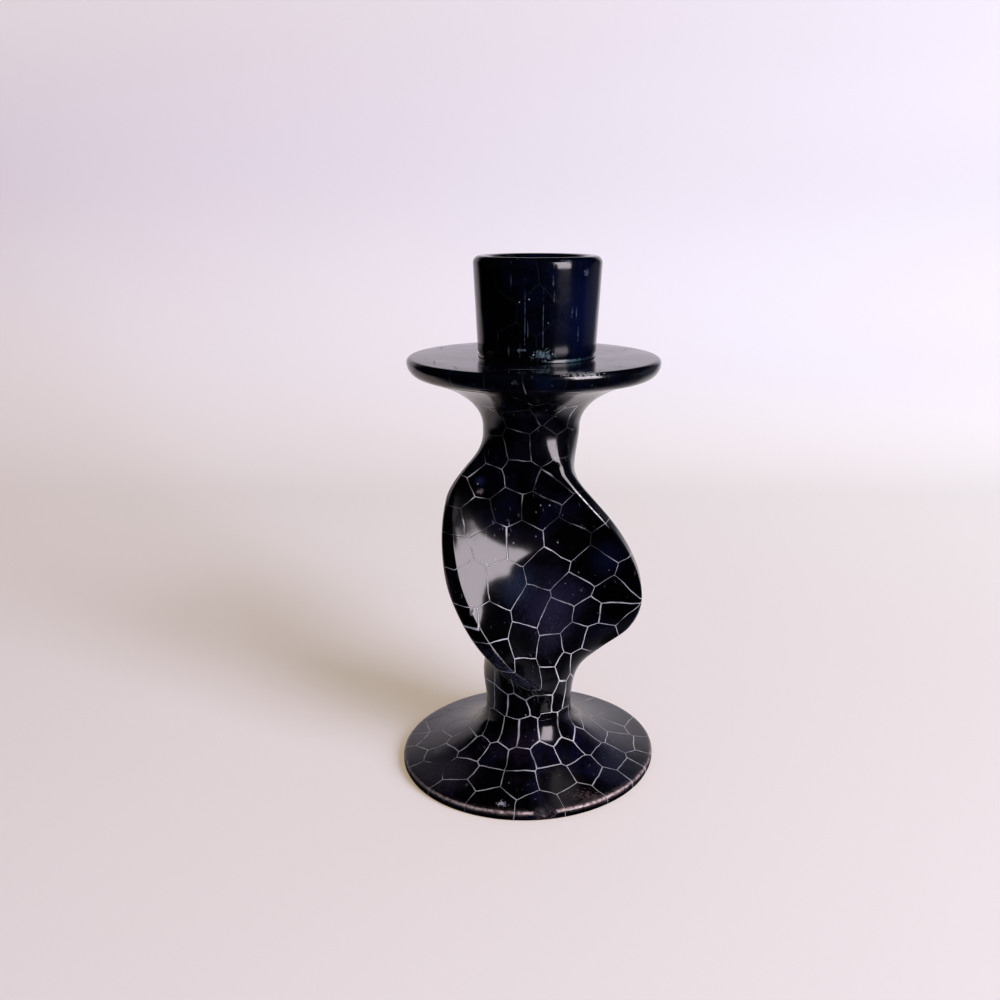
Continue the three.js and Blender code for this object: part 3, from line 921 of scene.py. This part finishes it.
leaf_bottom = wings_bottom - flattening_margin
leaf_top = wings_top + flattening_margin
leaf_steps = 130
leaf = [
    carved_ring(leaf_bottom + (leaf_top - leaf_bottom) * step / leaf_steps)
    for step in range(leaf_steps + 1)
]
spigot_radius = 0.0075
spigot_chamfer = 0.0008
body_spigot_foot = 0.006
neck_bend = (neck_radius, pan_underside - 0.0052)
neck_reach = 0.0315
neck_steps = 24
neck_flare = bowed((neck_radius, leaf_top), neck_bend, (neck_reach, pan_underside), neck_steps)
cup_offset = 0.0014
cup_mortise_floor = 0.1052
body_rings = [
    ring_like(leaf[0], spigot_radius - spigot_chamfer, body_spigot_foot),
    ring_like(leaf[0], spigot_radius, body_spigot_foot + spigot_chamfer),
    ring_like(leaf[0], spigot_radius, foot_top),
    ring_like(leaf[0], joint_middle, foot_top),
    ring_like(leaf[0], stem_radius, foot_top),
    ring_like(leaf[0], stem_radius, foot_top + crisp),
    *leaf,
    *[ring_like(leaf[-1], radius, height) for radius, height in neck_flare[1:]],
    ring_like(leaf[-1], 0.02, pan_underside, 0.0008),
    ring_like(leaf[-1], mortise_radius, pan_underside, cup_offset),
    ring_like(leaf[-1], mortise_radius, cup_mortise_floor, cup_offset),
]
body_piece = finished("body_stone", drawn_up(body_rings), "twisted_body")

# The body's cells by their turn in degrees and height in millimetres, with more of them set out
# by even courses where none is given
body_cells = [
    (267, 36.5), (303, 37.5), (357, 39.5), (343, 40), (250, 43), (263, 43.5), (314, 48), (345, 48),
    (2, 43.5), (233, 52), (245, 52), (270, 53), (347, 54), (329, 56), (348, 61), (233, 63),
    (247, 62), (335, 63), (291, 64), (218, 71), (234, 73.5), (338, 72), (257, 73), (312, 73),
    (211, 79.5), (219, 80), (238, 82), (280, 82), (320, 81), (204, 86), (213, 89), (291, 88),
    (256, 91), (304, 93), (195, 94), (220, 98), (284, 100.5), (253, 100.5), (312, 99.5), (345, 100),
    (218, 106), (259, 107), (284, 110), (301, 107.5), (325, 108), (228, 113.5), (252, 112.5),
    (274, 115), (292, 114),
]
body_skin = BVHTree.FromObject(body_piece, bpy.context.evaluated_depsgraph_get())
outside_body = 0.06
body_spots = list(stem_spots)
for turn, height in body_cells:
    inward = Vector((-math.cos(math.radians(turn)), -math.sin(math.radians(turn)), 0))
    body_spots.append(set_on(body_skin, math.radians(turn), outside_body, height / 1000, inward))
first_course = 0.0305
course_step = 0.0085
course_count = 11
left_corner = 65
right_corner = 1
edge_points = 9
ring_points = len(leaf[0])


def off_edges(course, point):
    """Whether a point of the body lies clear of both wings' edges."""
    edges = course[left_corner - edge_points:left_corner + 1]
    edges += course[right_corner:right_corner + edge_points + 1]
    return all((Vector(place) * 1000 - point).length > 5.5 for place in edges)


for row in range(course_count):
    height = first_course + course_step * row
    if height < leaf_top:
        course = carved_ring(height)
    else:
        course = ring_like(leaf[-1], neck_radius + 0.0009 * (row - 8), height)
    extra = stepped(course, pitch=0.0092, shift=row / 2)
    if height < leaf_top - 0.01:
        extra = [point for point in extra if off_edges(course, point)]
    body_spots = filled(body_spots, extra, gap=6.4)

# The wings' edges take the lines of the front corner beside them, so that a line runs straight
# over an edge. How many stations a point is away from a corner tells where the right corner gets
# its painted highlight and where the left edge is scuffed.
seats = {}
spans = {}
no_span = (99, "")
ring_of = body_piece.data.attributes["ring"].data
station_of = body_piece.data.attributes["station"].data
for vert in body_piece.data.vertices:
    if not leaf_bottom < vert.co.z < leaf_top:
        continue
    for side, corner, way in (("left", left_corner, -1), ("right", right_corner, 1)):
        past = (station_of[vert.index].value - corner) * way
        past = (past + 20) % ring_points - 20
        spans[vert.index] = min(spans.get(vert.index, no_span), (abs(past), side))
        if 0 <= past <= edge_points:
            seats[vert.index] = Vector(body_rings[ring_of[vert.index].value][corner])
scratch_web(body_piece, foot_spots + body_spots, seats)


def corner_highlight(place, index):
    """Painted highlight: the right-hand front corner is painted pale along its upper part, where the window
    glints.
    """
    stations_off, side = spans.get(index, no_span)
    if stations_off > 0 or side != "right":
        return 0
    return eased((place.z - 0.0755) / 0.005) * eased((0.0895 - place.z) / 0.004)


def edge_scuffs(place, index):
    """The left wing's edge is scuffed along its lower end."""
    stations_off, side = spans.get(index, no_span)
    if stations_off > 7 or side != "left" or index not in seats:
        return 0
    return 0.5 * eased((place.z - 0.03) / 0.004) * eased((0.05 - place.z) / 0.012)


body_places = [vert.co.copy() for vert in body_piece.data.vertices]
# Painted highlight along the right-hand front corner, stored with the wear
wear_and_highlight(body_piece, "wear_and_highlight", [corner_highlight(place, index) for index, place in enumerate(body_places)])
wear_and_highlight(body_piece, "scuffed", [edge_scuffs(place, index) for index, place in enumerate(body_places)])
for layer_name in ("ring", "station"):
    body_piece.data.attributes.remove(body_piece.data.attributes[layer_name])
body_look = polished_stone(
    "body_look", (0.0003, 0.0003, 0.0005, 1), (0.002, 0.0025, 0.013, 1), (0.007, 0.006, 0.014, 1),
    stretch=(900, 900, 300), web=(0.6, 0.36), dye=0.4, wear_and_highlight_tint=(0.7, 0.7, 0.72, 1),
)
# Wide patches of dye, the two lower ones partly a painted reflection of the table, a blue spot
# with a reddish fleck under it, and a nick with a pale ring
spotted(body_look, (-4.5, -14.5, 60.0), (10.0, 9.0, 9.0), (0.008, 0.012, 0.026, 1), 0.8, **wide)
# These two dim patches on the lower front are partly painted reflection of the pale table
spotted(body_look, (8.0, -11.0, 52.0), (15.0, 12.0, 13.0), (0.011, 0.01, 0.026, 1), 0.8, **wide)
spotted(body_look, (9.0, -12.0, 43.0), (11.0, 11.0, 9.0), (0.012, 0.011, 0.024, 1), 0.8, **wide)
spotted(body_look, (22.0, -8.0, 66.0), (7.0, 8.0, 9.0), (0.002, 0.0035, 0.014, 1), 0.6, **wide)
spotted(body_look, (-14.4, -8.4, 88.9), (2.2, 2.2, 2.0), (0.004, 0.008, 0.028, 1), 0.7, 0.3, 0.1)
spotted(body_look, (-14.4, -9.6, 86.1), (1.3, 1.6, 1.0), (0.1, 0.075, 0.09, 1), 0.8, 0.5, 0.2)
spotted(body_look, (-16.4, -24.8, 56.6), (0.95, 1.6, 1.7), (0.14, 0.14, 0.16, 1), 0.9, 0.1)
spotted(body_look, (-16.4, -24.8, 56.6), (0.6, 1.2, 1.15), (0.0005, 0.0005, 0.001, 1), 1.0, 0.1)
body_piece.data.materials.append(body_look)

# Drip pan: a flat round slab of stone, glued on the neck's flare, with a hole for the cup's
# spigot. Its rim is rounded full from below and close at the top.
pan_radius = 0.0353
pan_offset = 0.0005
pan_sides = 160
upper_round = 0.0013
lower_round = pan_top - pan_underside - upper_round
pan_rim = [
    (pan_radius - lower_round * (1 - math.cos(turn)), pan_underside + lower_round * (1 + math.sin(turn)))
    for turn in arc_turns(-90, 0, 12)
] + [
    (pan_radius - upper_round * (1 - math.cos(turn)), pan_top - upper_round * (1 - math.sin(turn)))
    for turn in arc_turns(0, 90, 8)[1:]
]
pan_profile = [
    (mortise_radius, pan_underside),
    (0.02, pan_underside),
    (0.028, pan_underside),
    *pan_rim,
    (0.028, pan_top),
    (0.022, pan_top),
    (0.0165, pan_top),
    (mortise_radius, pan_top),
    (mortise_radius, pan_underside),
]
pan_piece = finished("pan_stone", turned(pan_profile, pan_sides, pan_offset), "drip_pan")
pan_spots = []
for row, radius in enumerate((0.0205, 0.0268, 0.0325)):
    extra = stepped(circle(radius, pan_top), pitch=0.0095, shift=row / 2)
    pan_spots = filled(pan_spots, extra, gap=5)
scratch_web(pan_piece, pan_spots)
pan_look = polished_stone(
    "pan_look", (0.0006, 0.0009, 0.002, 1), (0.001, 0.003, 0.012, 1), (0.003, 0.003, 0.012, 1),
    stretch=(700, 700, 700), web=0.36, width=0.14, pale=(0.14, 0.14, 0.16, 1),
)
shader_of(pan_look).inputs["IOR"].default_value = 1.5
# Residue at the left, a long scratch, a painted highlight on the rim at the front right, and a black speck
spotted(pan_look, (-18.3, -8.7, 122.8), (4.8, 2.6, 1.0), (0.3, 0.3, 0.31, 1), 0.5, 1.3)
spotted(pan_look, (-2.0, -26.0, 122.8), (6.5, 0.4, 1.0), (0.1, 0.12, 0.14, 1), 0.8, 0.5)
# Painted highlight: the window's glint on the rim at the front right
spotted(pan_look, (10.8, -32.0, 122.5), (5.5, 2.5, 0.7), (0.3, 0.31, 0.33, 1), 0.6, 1.2)
spotted(pan_look, (19.0, -5.2, 122.8), (0.45, 0.45, 0.45), (0.0, 0.0, 0.0, 1), 1.0, 0.1)
pan_piece.data.materials.append(pan_look)

# Candle cup: a short tapered stone with a rounded lip and a socket bored down its middle, set on
# the pan by a spigot. A shallow groove runs round its root, where the glue line shows.
cup_top = 0.15
cup_sides = 160
cup_spigot_foot = 0.1058
root_radius = 0.0164
root_groove = [(0.0161, 0.1232), (0.016, 0.1236), (0.0161, 0.124)]
wall_bottom = 0.1244
wall_steps = 20
lip_radius = 0.0157
lip_outer_width = 0.0019
lip_outer_height = 0.002
lip_inner_width = 0.0044
lip_inner_height = 0.004
socket_radius = lip_radius - lip_inner_width
socket_floor = 0.128
wall_top = cup_top - lip_outer_height
wall_lean = lip_radius + lip_outer_width - root_radius
wall = [
    (root_radius + wall_lean * step / wall_steps, wall_bottom + (wall_top - wall_bottom) * step / wall_steps)
    for step in range(wall_steps)
]
lip_turns = arc_turns(0, 90, 12)
lip_outside = [
    (lip_radius + lip_outer_width * math.cos(turn), wall_top + lip_outer_height * math.sin(turn))
    for turn in lip_turns
]
lip_inside = [
    (lip_radius - lip_inner_width * math.cos(turn), cup_top - lip_inner_height * (1 - math.sin(turn)))
    for turn in reversed(lip_turns[:-1])
]
cup_profile = [
    (0, cup_spigot_foot),
    (spigot_radius - spigot_chamfer, cup_spigot_foot),
    (spigot_radius, cup_spigot_foot + spigot_chamfer),
    (spigot_radius, pan_top),
    (0.012, pan_top),
    (root_radius, pan_top),
    *root_groove,
    *wall,
    *lip_outside,
    *lip_inside,
    (socket_radius, 0.14),
    (socket_radius, 0.134),
    (socket_radius, socket_floor),
    (0, socket_floor),
]
cup_piece = finished("cup_stone", turned(cup_profile, cup_sides, cup_offset), "candle_cup")
cup_spots = []
for row, height in enumerate((0.1275, 0.136, 0.1445)):
    extra = stepped(circle(0.017, height, cup_offset), pitch=0.0105, shift=row / 2)
    cup_spots = filled(cup_spots, extra, gap=6)
scratch_web(cup_piece, cup_spots)
cup_look = polished_stone(
    "cup_look", (0.0004, 0.0006, 0.001, 1), (0.0008, 0.0025, 0.017, 1), (0.001, 0.003, 0.016, 1),
    stretch=(1300, 1300, 40), web=0.24, width=0.14, dye=0.45, marks=0.9, gloss=0.11,
    pale=(0.12, 0.14, 0.19, 1),
)
# A wide blue patch, partly dye and partly painted reflection, residue at the root, a painted
# highlight on the lip and the glue line round the root
# Partly painted reflection: a dim blue sheen on the right of the cup, laid as a patch of dye
spotted(cup_look, (12.0, -12.0, 136.0), (12.0, 12.0, 22.0), (0.0008, 0.0022, 0.014, 1), 1.0, **wide)
spotted(cup_look, (2.7, -16.4, 125.1), (2.7, 2.0, 1.3), (0.08, 0.13, 0.16, 1), 0.8, 1.3, 0.2)
spotted(cup_look, (-3.3, -15.8, 126.4), (1.7, 2.0, 0.4), (0.1, 0.13, 0.16, 1), 0.7, 1.0, 0.2)
# Painted highlight: a faint glint on the lip
spotted(cup_look, (8.1, -15.7, 148.8), (2.2, 2.0, 0.8), (0.06, 0.06, 0.08, 1), 0.8, 0.4, 0.1)
spotted(cup_look, (9.7, -13.9, 123.3), (8.0, 6.0, 0.45), (0.03, 0.07, 0.09, 1), 0.7, 0.6, 0.2)
# Upright scratches down the front of the cup
for place, size in (
    ((-2.35, -16.6, 134.0), (0.13, 2, 9.0)), ((2.4, -16.8, 133.0), (0.12, 2, 10.0)),
    ((4.9, -17.0, 143.6), (0.25, 2, 1.8)), ((5.2, -16.8, 140.0), (0.2, 2, 1.9)),
    ((10.0, -14.7, 135.9), (0.22, 2, 1.2)), ((11.2, -13.9, 135.9), (0.16, 2, 1.5)),
    ((13.8, -12.4, 146.0), (1.0, 1.6, 1.0)), ((11.8, -13.6, 130.5), (0.14, 2, 2.0)),
):
    spotted(cup_look, place, size, (0.06, 0.08, 0.12, 1), 0.55, 1.1, 0.1)
cup_piece.data.materials.append(cup_look)
